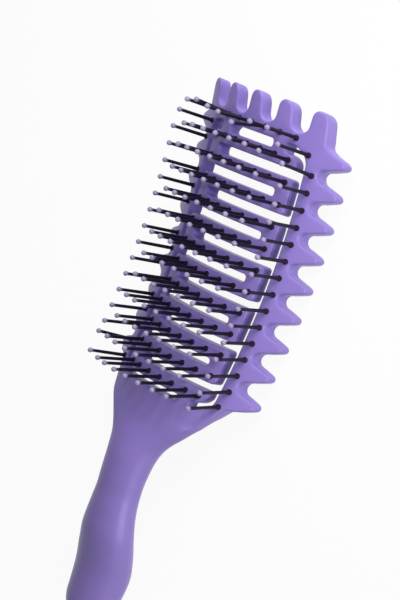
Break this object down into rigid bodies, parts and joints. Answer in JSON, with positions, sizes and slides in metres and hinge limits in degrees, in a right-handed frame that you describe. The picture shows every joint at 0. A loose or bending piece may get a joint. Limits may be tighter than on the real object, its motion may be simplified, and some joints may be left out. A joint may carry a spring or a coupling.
{
  "type": "hair brush",
  "caption": "Vented detangling hair brush: an open slotted head with finned edges, ball-tipped pins and a rounded handle.",
  "frame": {"origin": "bottom centre of the brush's bounding box, as it lies on its back", "axes": "+Z the way the pins point, +Y along the brush from the handle to the top fins, +X across the head"},
  "size_m": [0.0796, 0.2398, 0.053],
  "materials": {
    "lavender_plastic": "satin-gloss moulded lavender plastic",
    "black_nylon": "near-black nylon pins with pale ball tips"
  },
  "bodies": {
    "root": {"frame": "lavender_plastic", "pins_row_01": "black_nylon", "pins_row_02": "black_nylon", "pins_row_03": "black_nylon", "pins_row_04": "black_nylon", "pins_row_05": "black_nylon", "pins_row_06": "black_nylon", "pins_row_07": "black_nylon", "pins_row_08": "black_nylon", "pins_row_09": "black_nylon", "pins_row_10": "black_nylon", "pins_row_11": "black_nylon", "pins_row_12": "black_nylon", "pins_row_13": "black_nylon", "pins_rail_left": "black_nylon", "pins_rail_right": "black_nylon"}
  },
  "joints": []
}
